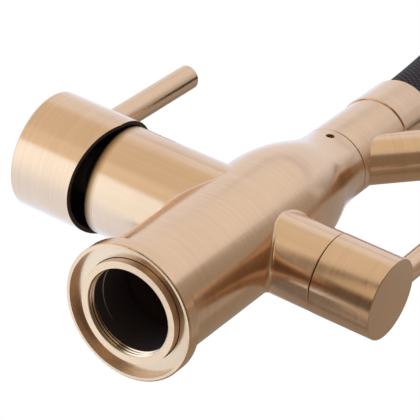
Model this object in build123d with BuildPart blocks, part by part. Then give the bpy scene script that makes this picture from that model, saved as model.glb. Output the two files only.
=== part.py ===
from build123d import *
from math import atan2, cos, hypot, pi, radians, sin, tan
import os

# A filtered water tap with two branches, in millimetres. The origin is the centre
# of the base on the worktop and +Z runs up the body. The mixer branch points to
# +X, the filter branch to -X, and the user stands at -Y.

# Clearances
turn_gap = 0.05  # running fit of a round piece in its bore, on the radius
seat_gap = 0.05  # between a fixed piece and the bore it is pushed into, on the radius
open_gap = 0.3  # between pieces that pass each other without a fit

# Base
body_r = 23.0
flange_proud = 3.0  # of the foot, past the body
flange_t = 5.5
flange_round = 0.5
flange_rim = 1.4  # wall outside the seal groove under the foot
groove_depth = 3.2
thread_r = 16.2  # crest of the base's M34 x 1.5 thread
thread_mouth = 1.5  # how much wider the thread's lead-in is on the worktop side
thread_lead = 3.0  # height of the lead-in
insert_wall = 1.7  # of the threaded ring, outside the lead-in
insert_h = 22.0
flange_r = body_r + flange_proud
groove_r = flange_r - flange_rim
thread_mouth_r = thread_r + thread_mouth
insert_r = thread_mouth_r + insert_wall

# Body
branch_z = 69.2  # height of both branches
shoulder_start = 30.8  # height above the branches where the straight sides would meet
shoulder_rise = 24.3
neck_r = 14.95
neck_length = 9.7
low_round_share = 0.503  # share of the shoulder's slope that each rounding takes
high_round_share = 0.352
core_below = 33.2  # length of the waterway core below and above the branches' axis
core_above = 22.8
shoulder_low = branch_z + shoulder_start
shoulder_high = shoulder_low + shoulder_rise
neck_top = shoulder_high + neck_length
core_bottom = branch_z - core_below
core_top = branch_z + core_above

# Waterways
inlet_r = 4.45  # crest of an M10 x 1 thread
inlet_depth = 12.0
passage_r = 2.8
port_depth = 6.0  # of the blind ports in the cartridge and the valve
hot_inlet = (5.5, -8.0)
cold_inlet = (5.5, 8.0)
filtered_inlet = (-9.0, 0.0)
mixed_x = 8.0
mixed_height = 8.0  # of the mixed water's way out above the branches' axis
filtered_height = 7.0

# Mixer branch, lengths along +X
housing_inset = 1.6  # how much smaller the housing is than the barrel, on the radius
mixer_lip_x = 53.5
mixer_lip_round = 1.0
mixer_root_round = 2.0  # where the housing runs into the barrel
mixer_seat_x = 14.0  # face that the cartridge stands on
carrier_r = 12.5
carrier_proud = 0.5  # past the lip
carrier_length = 24.0
case_wall = 2.5  # of the cartridge round its carrier
nut_wall = 2.5
nut_length = 8.0
nut_overhang = 4.0  # of the nut past the cartridge's neck
nut_inset = 5.5  # from the nut's end to the lip
nut_notches = 6
nut_notch = 3.0
pivot_inset = 3.5  # from the lever's axle to the lip
axle_r = 1.45
axle_length = 22.0
stem_half = 4.0  # half the side of the square lever stem
stem_tail = 10.0  # its length inside the pivot
stem_chamfer = 1.0
slot_depth = 18.0  # of the slot that the stem rocks in
shroud_proud = 3.5
shroud_gap = 0.8  # round the carrier
shroud_round = 1.2
cap_proud = 1.6  # of the cap's outside past the housing's
cap_wall = 1.6
cap_gap = 1.6  # between the lip and the cap's open edge
cap_length = 32.1
cap_relief = 0.245  # slope of the lower half of its open edge, which leaves room to tilt
cap_round = 0.8
cap_depth = 16.9  # of its hollow
cap_hub_r = 10.0
cap_hub_length = 10.0
cap_floor = 5.2  # between the stem's end and the cap's end face
mixer_pin_inset = 6.8  # from the pin's axis to the cap's end
mixer_pin_r = 5.1
mixer_pin_rise = 84.7  # height of its tip above the branch's axis
mixer_pin_sunk = 9.0  # how deep it sits in the cap
mixer_pin_round = 0.7
mixer_grub_r = 2.5
mixer_housing_r = body_r - housing_inset
cartridge_neck_r = carrier_r + case_wall
cartridge_r = cartridge_neck_r + nut_wall
nut_end_x = mixer_lip_x - nut_inset
cartridge_end_x = nut_end_x - nut_length
cartridge_neck_x = nut_end_x - nut_overhang
carrier_end_x = mixer_lip_x + carrier_proud
carrier_start_x = carrier_end_x - carrier_length
lever_pivot_x = mixer_lip_x - pivot_inset
stem_start_x = lever_pivot_x - stem_tail
slot_start_x = carrier_end_x - slot_depth
shroud_end_x = mixer_lip_x + shroud_proud
cap_r = mixer_housing_r + cap_proud
cap_edge_x = mixer_lip_x + cap_gap
cap_end_x = cap_edge_x + cap_length
cap_solid_x = cap_edge_x + cap_depth
cap_hub_x = cap_solid_x - cap_hub_length
stem_end_x = cap_end_x - cap_floor
mixer_pin_x = cap_end_x - mixer_pin_inset
mixer_pin_seat = cap_r - mixer_pin_sunk

# Filter branch, lengths along -X
filter_housing_r = 15.4
filter_lip_x = 39.3
filter_lip_round = 0.4
filter_root_round = 1.5
filter_seat_x = 12.0
valve_r = 12.0
valve_inset = 9.3  # from the wide part's end to the lip
gland_wall = 3.0  # how much smaller the gland is, on the radius
gland_inset = 1.3
lock_nut_length = 6.0
lock_nut_rim = 1.2
lock_nut_depth = 4.0
spindle_r = 4.0
spindle_tail = 8.0  # its length inside the valve's wide part
gasket_t = 0.3
gasket_step = 0.6  # how far the gasket stands back from the knob's outside
knob_proud = 0.1
knob_gap = 0.15  # between the gasket and the knob
knob_length = 24.45
knob_round = 0.4
knob_pocket_gap = 0.3
knob_pocket_depth = 6.25
knob_floor = 3.2  # between the spindle's end and the knob's end face
filter_pin_inset = 5.4
filter_pin_r = 4.55
filter_pin_rise = 58.8
filter_pin_sunk = 6.5
filter_pin_round = 0.6
filter_grub_r = 2.0
gland_r = valve_r - gland_wall
valve_end_x = filter_lip_x - valve_inset
gland_end_x = filter_lip_x - gland_inset
lock_nut_end_x = valve_end_x + lock_nut_length
spindle_start_x = valve_end_x - spindle_tail
knob_r = filter_housing_r + knob_proud
knob_start_x = filter_lip_x + gasket_t + knob_gap
knob_end_x = knob_start_x + knob_length
knob_pocket_r = valve_r + knob_pocket_gap
knob_pocket_x = knob_start_x + knob_pocket_depth
spindle_end_x = knob_end_x - knob_floor
filter_pin_x = knob_end_x - filter_pin_inset
filter_pin_seat = knob_r - filter_pin_sunk

# Grub screws in the cap and the knob
mixer_grub_socket = 2.5  # across the flats
filter_grub_socket = 2.0
grub_socket_depth = 2.0

# Swivelling column on the neck
neck_wall = 3.95  # of the neck and of the swivel ring
spigot_start = 3.0  # above the waterway core
spigot_rise = 26.0  # above the neck
spigot_wall = 2.95
oring_wire_r = 0.8
oring_squeeze = 0.02  # how far the seals stand proud of the spigot
oring_steps = (6.0, 13.0, 21.0)  # heights above the spigot's lower end
oring_groove_gap = 0.1
screw_drop = 4.5  # of the screw's axis below the neck's top
screw_r = 1.65
screw_tip_r = 1.2
screw_groove_depth = 1.45
screw_groove_half = 1.5
screw_sunk = 1.75  # how far the screw's end lies inside the neck's outside
screw_socket = 2.0  # across the flats
screw_socket_depth = 1.4
washer_t = 0.4
washer_step = 0.45  # how far the washer stands back from the neck's outside
washer_gap = 0.1
ring_rise = 32.2  # from the neck to the ring's top
ring_round = 0.2
waterway_r = 9.0  # bore that feeds the hose
bore_r = neck_r - neck_wall
spigot_r = bore_r - turn_gap
spigot_bottom = core_top + spigot_start
spigot_top = neck_top + spigot_rise
screw_z = neck_top - screw_drop
screw_groove_r = spigot_r - screw_groove_depth
ring_bottom = neck_top + washer_t + turn_gap
ring_top = neck_top + ring_rise

# Hose ends: the ferrule on the ring and the collar above the spray head
hose_r = 13.65
hose_bore_r = 8.7
end_wall = 1.85  # of ferrule and collar round the hose
end_round = 0.5
ferrule_chamfer = 0.35
ferrule_length = 20.8
ferrule_sleeve = 15.0  # length of the hose inside the ferrule
nipple_play = 0.35  # between the nipple's barbs and the hose's bore
nipple_wall = 2.85
nipple_root = 0.5  # radius lost between two barbs
nipple_length = 13.0
nipple_barbs = 3
barb_pitch = 4.0
barb_step = 1.0  # straight part below each barb
nipple_foot = 8.0  # its length inside the collar
foot_gap = 0.5  # between the nipple's foot and the spigot
nipple_r = hose_bore_r - nipple_play
nipple_bore_r = nipple_r - nipple_wall
ferrule_r = hose_r + end_wall
ferrule_top = ring_top + ferrule_length
ferrule_floor = ferrule_top - ferrule_sleeve

# Arm
arm_heading = 173.4  # direction of the arm seen from above, from +X towards +Y
arm_root_rise = 2.75  # from the ring's foot to where the arm's axis crosses the column's
arm_slope = 45.0
arm_r = 9.9
arm_wall = 1.5
arm_bend = 40.0
arm_level = 83.2  # from the bend's corner to the dock's axis
reach = 236.0  # from the column's axis to the dock's
arm_root_z = ring_bottom + arm_root_rise
bend_s = reach - arm_level
arm_level_z = arm_root_z + bend_s * tan(radians(arm_slope))
arm_bore_r = arm_r - arm_wall

# Dock, at the arm's end
dock_play = 0.7  # round the collar
dock_height = 24.0
dock_round = 0.8
magnet_inset = 1.2  # from the dock's bore to the magnet
magnet_wall = 1.8
magnet_cover = 1.3
magnet_h = 3.0
magnet_gap = 0.1
collar_r = hose_r + end_wall
dock_bore_r = collar_r + dock_play
magnet_inner_r = dock_bore_r + magnet_inset
magnet_outer_r = magnet_inner_r + magnet_wall
dock_r = magnet_outer_r + magnet_cover
dock_bottom = arm_level_z - dock_height / 2
dock_top = arm_level_z + dock_height / 2

# Collar at the hose's lower end
head_entry = 8.0  # how far the spray head's neck reaches into the dock
collar_length = 26.0
collar_sleeve = 12.0
collar_spigot_length = 18.0
collar_spigot_wall = 5.0
collar_wall = 1.5  # how much wider the collar's bore is than the nipple's, on the radius
valve_play = 1.0  # between the check valve and the nipple
valve_inset_z = 2.0
collar_bottom = dock_bottom + head_entry
collar_top = collar_bottom + collar_length
collar_floor = collar_top - collar_sleeve
collar_bore_r = nipple_bore_r + collar_wall
collar_spigot_r = collar_bore_r + collar_spigot_wall
collar_spigot_bottom = collar_bottom - collar_spigot_length

# Filtered water line
filter_tube_r = 4.0
filter_tube_bore_r = 3.0
filter_tube_bend = 12.0
filter_tube_drop = 13.2  # of its lower end below the arm's root
riser_sunk = 8.0  # length of the riser inside the waterway core
riser_overlap = 6.0  # length of the riser inside the tube
riser_bore_r = 2.0
outlet_inset = 48.0  # from the outlet's axis to the dock's
outlet_drop = 28.0  # from the arm's axis to the outlet's mouth
outlet_aerator_r = 7.5
outlet_aerator_h = 8.0
outlet_aerator_sunk = 0.3
outlet_aerator_gap = 0.1
outlet_wall = 1.5
outlet_round = 0.5
tube_end_gap = 2.0  # between the tube's end and the aerator
aerator_holes = ((2.4, 6), (5.0, 12))  # radius and number of the openings
aerator_hole_r = 0.8
filter_tube_start = arm_root_z - filter_tube_drop
riser_r = filter_tube_bore_r - turn_gap
riser_bottom = core_top - riser_sunk
riser_top = filter_tube_start + riser_overlap
outlet_s = reach - outlet_inset
outlet_r = outlet_aerator_r + outlet_wall
outlet_bore_r = outlet_aerator_r - outlet_wall
outlet_bottom = arm_level_z - outlet_drop
tube_end = outlet_bottom + outlet_aerator_h + tube_end_gap

# Spray head
keeper_wall = 1.2
keeper_cover = 0.9  # from the keeper ring to the head's outside
keeper_h = 2.0
head_length = 105.7
head_wall = 1.9
head_ceiling = 15.7  # above its hollow
head_round = 0.6
face_t = 5.0
face_recess = 0.6
spray_rings = ((7.05, 12), (3.05, 18))  # distance from the face's edge and number of the jets
jet_r = 0.9
head_aerator_r = 7.0
core_gap = 0.3
core_bore_step = 1.0  # how much smaller the core's bore is than the aerator, on the radius
core_top_gap = 4.0
window_gap = 0.3
button_w = 12.0
button_h = 28.0
button_rise = 64.0  # of the button's centre above the head's lower end
button_proud = 1.1
button_travel = 1.5
button_t = 4.2
button_round = 0.8
keeper_r = magnet_inner_r + keeper_wall
head_r = keeper_r + keeper_cover
head_neck_top = collar_bottom - magnet_gap
head_shoulder = dock_bottom - open_gap
head_bottom = head_shoulder - head_length
head_cavity_top = head_shoulder - head_ceiling
face_r = head_r - head_wall - seat_gap
face_bottom = head_bottom + face_recess
core_r = head_r - head_wall - core_gap
button_z = head_bottom + button_rise
button_back = head_r + button_proud - button_t

# Hose route as (distance from the column's axis along the arm's heading, height)
hose_route = [
    (0.0, ferrule_floor),
    (0.0, 194.0),
    (-3.0, 230.0),
    (-9.0, 290.0),
    (-14.0, 362.0),
    (-12.0, 435.0),
    (10.0, 484.0),
    (50.0, 520.0),
    (101.0, 537.0),
    (155.0, 531.0),
    (201.0, 505.0),
    (233.0, 461.0),
    (244.0, 408.0),
    (reach, 350.0),
    (reach, collar_floor),
]

heading = Vector(cos(radians(arm_heading)), sin(radians(arm_heading)), 0)
reach_plane = Plane(origin=(0, 0, 0), x_dir=heading, z_dir=heading.cross(Vector(0, 0, 1)))
branch_plane = Plane(origin=(0, 0, branch_z), x_dir=(1, 0, 0), z_dir=(0, -1, 0))
branch_axis = Axis((0, 0, branch_z), (1, 0, 0))
dock_x = reach * heading.X
dock_y = reach * heading.Y
dock_axis = Axis((dock_x, dock_y, 0), (0, 0, 1))


def across(x):
    """The plane square to the branches at x, facing +X, centred on their axis."""
    return Plane(origin=(x, 0, branch_z), x_dir=(0, 1, 0), z_dir=(1, 0, 0))


def level_at_dock(z):
    """The level plane at height z, centred on the dock."""
    return Plane(origin=(dock_x, dock_y, z), x_dir=heading, z_dir=(0, 0, 1))


def level_at_outlet(z):
    """The level plane at height z, centred on the filtered water's outlet."""
    return Plane(origin=tuple(heading * outlet_s + Vector(0, 0, z)), x_dir=heading, z_dir=(0, 0, 1))


def button_plane(s):
    """The upright plane square to the heading at distance s from the dock's axis."""
    return Plane(
        origin=(dock_x + s * heading.X, dock_y + s * heading.Y, button_z),
        x_dir=heading.cross(Vector(0, 0, 1)),
        z_dir=heading,
    )


def rear_plane(y):
    """The upright plane facing +Y at distance y, centred on the spigot's screw."""
    return Plane(origin=(0, y, screw_z), x_dir=(1, 0, 0), z_dir=(0, 1, 0))


def pivot_plane():
    """The upright plane through the lever's axle, facing +Y."""
    return Plane(origin=(lever_pivot_x, 0, branch_z), x_dir=(1, 0, 0), z_dir=(0, 1, 0))


def upright_at(x, z):
    """The level plane at height z above the branches' axis, centred on x."""
    return Plane(origin=(x, 0, branch_z + z), x_dir=(1, 0, 0), z_dir=(0, 0, 1))


def keep(name, part):
    """Label a finished piece and write it."""
    part.label = name
    export_step(part, f"parts/{name}.step")


os.makedirs("parts", exist_ok=True)

# ---- Body: foot, barrel, shoulder and neck, with a housing for each branch ----
barrel_bore_r = insert_r + seat_gap
cartridge_bore_r = cartridge_r + seat_gap
valve_bore_r = valve_r + seat_gap
screw_hole_r = screw_r + seat_gap
shoulder_turn = atan2(body_r - neck_r, shoulder_rise) / 2
shoulder_slope = hypot(body_r - neck_r, shoulder_rise)
low_tangent = low_round_share * shoulder_slope
high_tangent = min(high_round_share * shoulder_slope, neck_length - open_gap)

with BuildPart() as body:
    with BuildSketch(Plane.XZ):
        with BuildLine():
            FilletPolyline(
                (body_r, flange_t),
                (body_r, shoulder_low),
                (neck_r, shoulder_high),
                (neck_r, neck_top),
                radius=[low_tangent / tan(shoulder_turn), high_tangent / tan(shoulder_turn)],
            )
            Polyline(
                (neck_r, neck_top),
                (0, neck_top),
                (0, 0),
                (flange_r, 0),
                (flange_r, flange_t),
                (body_r, flange_t),
            )
        make_face()
    revolve(axis=Axis.Z)
    with BuildSketch(across(0)):
        Circle(mixer_housing_r)
    extrude(amount=mixer_lip_x)
    with BuildSketch(across(0)):
        Circle(filter_housing_r)
    extrude(amount=-filter_lip_x)
    # rounded joints between the barrel and its two housings
    fillet(body.edges().filter_by(GeomType.BSPLINE).filter_by(lambda e: e.center().X < 0), filter_root_round)
    roots = body.edges().filter_by(GeomType.BSPLINE)
    roots = roots.filter_by(lambda e: e.center().X > 0 and e.length > 2 * mixer_housing_r)
    fillet(roots, mixer_root_round)
    # bores, from the foot up and along the branches
    with BuildSketch(Plane.XY):
        Circle(groove_r)
    extrude(amount=groove_depth, mode=Mode.SUBTRACT)
    with BuildSketch(Plane.XY):
        Circle(barrel_bore_r)
    extrude(amount=core_top, mode=Mode.SUBTRACT)
    with BuildSketch(Plane.XY.offset(core_top)):
        Circle(bore_r)
    extrude(amount=neck_top - core_top, mode=Mode.SUBTRACT)
    with BuildSketch(across(mixer_seat_x)):
        Circle(cartridge_bore_r)
    extrude(amount=mixer_lip_x - mixer_seat_x, mode=Mode.SUBTRACT)
    with BuildSketch(across(-filter_seat_x)):
        Circle(valve_bore_r)
    extrude(amount=filter_seat_x - filter_lip_x, mode=Mode.SUBTRACT)
    with BuildSketch(rear_plane(0)):
        Circle(screw_hole_r)
    extrude(amount=neck_r + 1, mode=Mode.SUBTRACT)
    # rounded edges of the foot and of the two lips
    circles = body.edges().filter_by(GeomType.CIRCLE)
    fillet(circles.filter_by(lambda e: abs(e.radius - flange_r) < 0.01), flange_round)
    fillet(body.faces().sort_by(Axis.X)[-1].outer_wire().edges(), mixer_lip_round)
    fillet(body.faces().sort_by(Axis.X)[0].outer_wire().edges(), filter_lip_round)
keep("body", body.part)

# ---- Threaded ring in the foot, which the shank screws into ----
with BuildPart() as base_insert:
    with BuildSketch(Plane.XZ):
        with BuildLine():
            Polyline(
                (thread_mouth_r, 0),
                (insert_r, 0),
                (insert_r, insert_h),
                (thread_r, insert_h),
                (thread_r, thread_lead),
                close=True,
            )
        make_face()
    revolve(axis=Axis.Z)
keep("base_insert", base_insert.part)

# ---- Waterway core: three inlets below, flats for the cartridge and the valve ----
with BuildPart() as waterway_core:
    with BuildSketch(Plane.XY.offset(core_bottom)):
        Circle(insert_r)
    extrude(amount=core_top - core_bottom)
    with BuildSketch(across(mixer_seat_x)):
        Circle(cartridge_bore_r)
    extrude(amount=insert_r, mode=Mode.SUBTRACT)
    with BuildSketch(across(-filter_seat_x)):
        Circle(valve_bore_r)
    extrude(amount=-insert_r, mode=Mode.SUBTRACT)
    with BuildSketch(Plane.XY.offset(core_bottom)):
        with Locations(hot_inlet, cold_inlet, filtered_inlet):
            Circle(inlet_r)
    extrude(amount=inlet_depth, mode=Mode.SUBTRACT)
    with BuildSketch(Plane.XY.offset(core_bottom)):
        with Locations(hot_inlet, cold_inlet, filtered_inlet):
            Circle(passage_r)
    extrude(amount=core_below, mode=Mode.SUBTRACT)
    with BuildSketch(across(hot_inlet[0])):
        with Locations((hot_inlet[1], 0), (cold_inlet[1], 0)):
            Circle(passage_r)
    extrude(amount=mixer_seat_x - hot_inlet[0], mode=Mode.SUBTRACT)
    with BuildSketch(across(mixed_x)):
        with Locations((0, mixed_height)):
            Circle(passage_r)
    extrude(amount=mixer_seat_x - mixed_x, mode=Mode.SUBTRACT)
    with BuildSketch(upright_at(mixed_x, mixed_height)):
        Circle(passage_r)
    extrude(amount=core_above - mixed_height, mode=Mode.SUBTRACT)
    # filtered water: to the valve's face, back above it, and up into the riser's seat
    with BuildSketch(across(filtered_inlet[0])):
        Circle(passage_r)
    extrude(amount=-filter_seat_x - filtered_inlet[0], mode=Mode.SUBTRACT)
    with BuildSketch(across(0)):
        with Locations((0, filtered_height)):
            Circle(riser_bore_r)
    extrude(amount=-filter_seat_x, mode=Mode.SUBTRACT)
    with BuildSketch(upright_at(0, filtered_height)):
        Circle(riser_bore_r)
    extrude(amount=core_above - filtered_height, mode=Mode.SUBTRACT)
    with BuildSketch(Plane.XY.offset(riser_bottom)):
        Circle(riser_r + seat_gap)
    extrude(amount=riser_sunk, mode=Mode.SUBTRACT)
keep("waterway_core", waterway_core.part)

# ---- Mixer cartridge: ceramic discs in a fixed case, held by a ring nut ----
with BuildPart() as cartridge_case:
    with BuildSketch(across(mixer_seat_x)):
        Circle(cartridge_r)
    extrude(amount=cartridge_end_x - mixer_seat_x)
    with BuildSketch(across(cartridge_end_x)):
        Circle(cartridge_neck_r)
    extrude(amount=cartridge_neck_x - cartridge_end_x)
    with BuildSketch(across(carrier_start_x)):
        Circle(carrier_r + turn_gap)
    extrude(amount=cartridge_neck_x - carrier_start_x, mode=Mode.SUBTRACT)
    with BuildSketch(across(mixer_seat_x)):
        with Locations((hot_inlet[1], 0), (cold_inlet[1], 0), (0, mixed_height)):
            Circle(passage_r)
    extrude(amount=port_depth, mode=Mode.SUBTRACT)
keep("cartridge_case", cartridge_case.part)

with BuildPart() as cartridge_nut:
    with BuildSketch(across(cartridge_end_x)):
        Circle(cartridge_r)
        Circle(cartridge_neck_r + seat_gap, mode=Mode.SUBTRACT)
    extrude(amount=nut_end_x - cartridge_end_x)
    with BuildSketch(across(nut_end_x - nut_notch)):
        with PolarLocations(cartridge_r, nut_notches):
            Rectangle(cartridge_r - cartridge_neck_r, nut_notch)
    extrude(amount=nut_notch, mode=Mode.SUBTRACT)
keep("cartridge_nut", cartridge_nut.part)

with BuildPart() as cartridge_carrier:
    with BuildSketch(across(carrier_start_x)):
        Circle(carrier_r)
    extrude(amount=carrier_end_x - carrier_start_x)
    with BuildSketch(across(slot_start_x)):
        Rectangle(2 * (stem_half + turn_gap), 2 * carrier_r)
    extrude(amount=carrier_end_x - slot_start_x, mode=Mode.SUBTRACT)
    with BuildSketch(pivot_plane()):
        Circle(axle_r + seat_gap)
    extrude(amount=carrier_r, both=True, mode=Mode.SUBTRACT)
keep("cartridge_carrier", cartridge_carrier.part)

with BuildPart() as lever_axle:
    with BuildSketch(pivot_plane()):
        Circle(axle_r)
    extrude(amount=axle_length / 2, both=True)
keep("lever_axle", lever_axle.part)

with BuildPart() as lever_stem:
    with BuildSketch(across(stem_start_x)):
        Rectangle(2 * stem_half, 2 * stem_half)
    extrude(amount=stem_end_x - stem_start_x)
    with BuildSketch(pivot_plane()):
        Circle(axle_r + turn_gap)
    extrude(amount=stem_half, both=True, mode=Mode.SUBTRACT)
    chamfer(lever_stem.faces().sort_by(Axis.X)[0].edges(), stem_chamfer)
keep("lever_stem", lever_stem.part)

# ---- Dark shroud that closes the housing round the carrier ----
with BuildPart() as mixer_shroud:
    with BuildSketch(across(nut_end_x)):
        Circle(cartridge_r)
        Circle(carrier_r + shroud_gap, mode=Mode.SUBTRACT)
    extrude(amount=shroud_end_x - nut_end_x)
    fillet(mixer_shroud.faces().sort_by(Axis.X)[-1].outer_wire().edges(), shroud_round)
keep("mixer_shroud", mixer_shroud.part)

# ---- Mixer cap, its pin and the grub screw under the pin ----
socket_half = stem_half + seat_gap
with BuildPart() as mixer_cap:
    with BuildSketch(across(cap_edge_x)):
        Circle(cap_r)
    extrude(amount=cap_end_x - cap_edge_x)
    with BuildSketch(across(cap_edge_x)):
        Circle(cap_r - cap_wall)
    extrude(amount=cap_solid_x - cap_edge_x, mode=Mode.SUBTRACT)
    with BuildSketch(across(cap_hub_x)):
        Circle(cap_hub_r)
    extrude(amount=cap_solid_x - cap_hub_x)
    with BuildSketch(across(cap_hub_x)):
        Rectangle(2 * socket_half, 2 * socket_half)
    extrude(amount=stem_end_x + seat_gap - cap_hub_x, mode=Mode.SUBTRACT)
    with BuildSketch(branch_plane):
        with BuildLine():
            Polyline(
                (cap_edge_x - 1, 0),
                (cap_edge_x, 0),
                (cap_edge_x + cap_relief * (cap_r + 1), -cap_r - 1),
                (cap_edge_x - 1, -cap_r - 1),
                close=True,
            )
        make_face()
    extrude(amount=cap_r + 1, both=True, mode=Mode.SUBTRACT)
    fillet(mixer_cap.edges().filter_by(GeomType.CIRCLE).sort_by(Axis.X)[-1], cap_round)
    with BuildSketch(upright_at(mixer_pin_x, mixer_pin_seat)):
        Circle(mixer_pin_r + seat_gap)
    extrude(amount=cap_r, mode=Mode.SUBTRACT)
    with BuildSketch(upright_at(mixer_pin_x, stem_half)):
        Circle(mixer_grub_r + seat_gap)
    extrude(amount=cap_r, mode=Mode.SUBTRACT)
keep("mixer_cap", mixer_cap.part)

with BuildPart() as mixer_pin:
    with BuildSketch(upright_at(mixer_pin_x, mixer_pin_seat)):
        Circle(mixer_pin_r)
    extrude(amount=mixer_pin_rise - mixer_pin_seat)
    fillet(mixer_pin.faces().sort_by(Axis.Z)[-1].edges(), mixer_pin_round)
keep("mixer_pin", mixer_pin.part)

with BuildPart() as mixer_grub:
    with BuildSketch(upright_at(mixer_pin_x, stem_half + seat_gap)):
        Circle(mixer_grub_r)
    extrude(amount=mixer_pin_seat - stem_half - 2 * seat_gap)
    with BuildSketch(upright_at(mixer_pin_x, mixer_pin_seat - seat_gap)):
        RegularPolygon(mixer_grub_socket / 2, 6, major_radius=False)
    extrude(amount=-grub_socket_depth, mode=Mode.SUBTRACT)
keep("mixer_grub", mixer_grub.part)

# ---- Filter valve: a quarter turn ceramic headwork with its lock nut and spindle ----
with BuildPart() as filter_valve:
    with BuildSketch(across(-filter_seat_x)):
        Circle(valve_r)
    extrude(amount=filter_seat_x - valve_end_x)
    with BuildSketch(across(-valve_end_x)):
        Circle(gland_r)
    extrude(amount=valve_end_x - gland_end_x)
    with BuildSketch(across(-spindle_start_x)):
        Circle(spindle_r + turn_gap)
    extrude(amount=spindle_start_x - gland_end_x, mode=Mode.SUBTRACT)
    with BuildSketch(across(-filter_seat_x)):
        with Locations((0, 0), (0, filtered_height)):
            Circle(riser_bore_r)
    extrude(amount=-port_depth, mode=Mode.SUBTRACT)
keep("filter_valve", filter_valve.part)

with BuildPart() as valve_lock_nut:
    with BuildSketch(across(-valve_end_x)):
        Circle(valve_r)
        Circle(gland_r + seat_gap, mode=Mode.SUBTRACT)
    extrude(amount=valve_end_x - lock_nut_end_x)
    with BuildSketch(across(-lock_nut_end_x)):
        Circle(valve_r)
        RegularPolygon(valve_r - lock_nut_rim, 6, major_radius=False, mode=Mode.SUBTRACT)
    extrude(amount=lock_nut_depth, mode=Mode.SUBTRACT)
keep("valve_lock_nut", valve_lock_nut.part)

with BuildPart() as filter_spindle:
    with BuildSketch(across(-spindle_start_x)):
        Circle(spindle_r)
    extrude(amount=spindle_start_x - spindle_end_x)
keep("filter_spindle", filter_spindle.part)

with BuildPart() as filter_gasket:
    with BuildSketch(across(-filter_lip_x)):
        Circle(knob_r - gasket_step)
        Circle(valve_bore_r, mode=Mode.SUBTRACT)
    extrude(amount=-gasket_t)
keep("filter_gasket", filter_gasket.part)

# ---- Filter knob with its pin and grub screw ----
with BuildPart() as filter_knob:
    with BuildSketch(across(-knob_start_x)):
        Circle(knob_r)
    extrude(amount=knob_start_x - knob_end_x)
    with BuildSketch(across(-knob_start_x)):
        Circle(knob_pocket_r)
    extrude(amount=knob_start_x - knob_pocket_x, mode=Mode.SUBTRACT)
    with BuildSketch(across(-knob_pocket_x)):
        Circle(spindle_r + seat_gap)
    extrude(amount=knob_pocket_x - spindle_end_x - seat_gap, mode=Mode.SUBTRACT)
    fillet(filter_knob.faces().sort_by(Axis.X)[0].edges(), knob_round)
    with BuildSketch(upright_at(-filter_pin_x, filter_pin_seat)):
        Circle(filter_pin_r + seat_gap)
    extrude(amount=knob_r, mode=Mode.SUBTRACT)
    with BuildSketch(upright_at(-filter_pin_x, 0)):
        Circle(filter_grub_r + seat_gap)
    extrude(amount=knob_r, mode=Mode.SUBTRACT)
keep("filter_knob", filter_knob.part)

with BuildPart() as filter_pin:
    with BuildSketch(upright_at(-filter_pin_x, filter_pin_seat)):
        Circle(filter_pin_r)
    extrude(amount=filter_pin_rise - filter_pin_seat)
    fillet(filter_pin.faces().sort_by(Axis.Z)[-1].edges(), filter_pin_round)
keep("filter_pin", filter_pin.part)

with BuildPart() as filter_grub:
    with BuildSketch(upright_at(-filter_pin_x, spindle_r + seat_gap)):
        Circle(filter_grub_r)
    extrude(amount=filter_pin_seat - spindle_r - 2 * seat_gap)
    with BuildSketch(upright_at(-filter_pin_x, filter_pin_seat - seat_gap)):
        RegularPolygon(filter_grub_socket / 2, 6, major_radius=False)
    extrude(amount=-grub_socket_depth, mode=Mode.SUBTRACT)
keep("filter_grub", filter_grub.part)

# ---- Swivel: spigot with seals, its screw, the washer and the ring ----
oring_r = spigot_r + oring_squeeze - oring_wire_r
oring_groove_r = oring_r - oring_wire_r - oring_squeeze
oring_heights = [spigot_bottom + step for step in oring_steps]
arm_dir = heading * cos(radians(arm_slope)) + Vector(0, 0, sin(radians(arm_slope)))
arm_root_plane = Plane(origin=(0, 0, arm_root_z), x_dir=heading.cross(Vector(0, 0, 1)), z_dir=arm_dir)

with BuildPart() as spout_spigot:
    with BuildSketch(Plane.XY.offset(spigot_bottom)):
        Circle(spigot_r)
        Circle(spigot_r - spigot_wall, mode=Mode.SUBTRACT)
    extrude(amount=spigot_top - spigot_bottom)
    for height in oring_heights:
        with BuildSketch(Plane.XY.offset(height - oring_wire_r - oring_groove_gap)):
            Circle(spigot_r + 1)
            Circle(oring_groove_r, mode=Mode.SUBTRACT)
        extrude(amount=2 * (oring_wire_r + oring_groove_gap), mode=Mode.SUBTRACT)
    with BuildSketch(Plane.XY.offset(screw_z - screw_groove_half)):
        Circle(spigot_r + 1)
        Circle(screw_groove_r, mode=Mode.SUBTRACT)
    extrude(amount=2 * screw_groove_half, mode=Mode.SUBTRACT)
    with BuildSketch(arm_root_plane):
        Circle(filter_tube_r + open_gap)
    extrude(amount=2 * spigot_r, mode=Mode.SUBTRACT)
keep("spout_spigot", spout_spigot.part)

with BuildPart() as spigot_seals:
    for height in oring_heights:
        with BuildSketch(Plane.XZ):
            with Locations((oring_r, height)):
                Circle(oring_wire_r)
        revolve(axis=Axis.Z)
keep("spigot_seals", spigot_seals.part)

screw_outer_y = neck_r - screw_sunk
with BuildPart() as spigot_screw:
    with BuildSketch(rear_plane(bore_r)):
        Circle(screw_r)
    extrude(amount=screw_outer_y - bore_r)
    with BuildSketch(rear_plane(screw_groove_r + open_gap)):
        Circle(screw_tip_r)
    extrude(amount=bore_r - screw_groove_r - open_gap)
    with BuildSketch(rear_plane(screw_outer_y)):
        RegularPolygon(screw_socket / 2, 6, major_radius=False)
    extrude(amount=-screw_socket_depth, mode=Mode.SUBTRACT)
keep("spigot_screw", spigot_screw.part)

with BuildPart() as swivel_washer:
    with BuildSketch(Plane.XY.offset(neck_top)):
        Circle(neck_r - washer_step)
        Circle(bore_r + washer_gap, mode=Mode.SUBTRACT)
    extrude(amount=washer_t)
keep("swivel_washer", swivel_washer.part)

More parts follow.
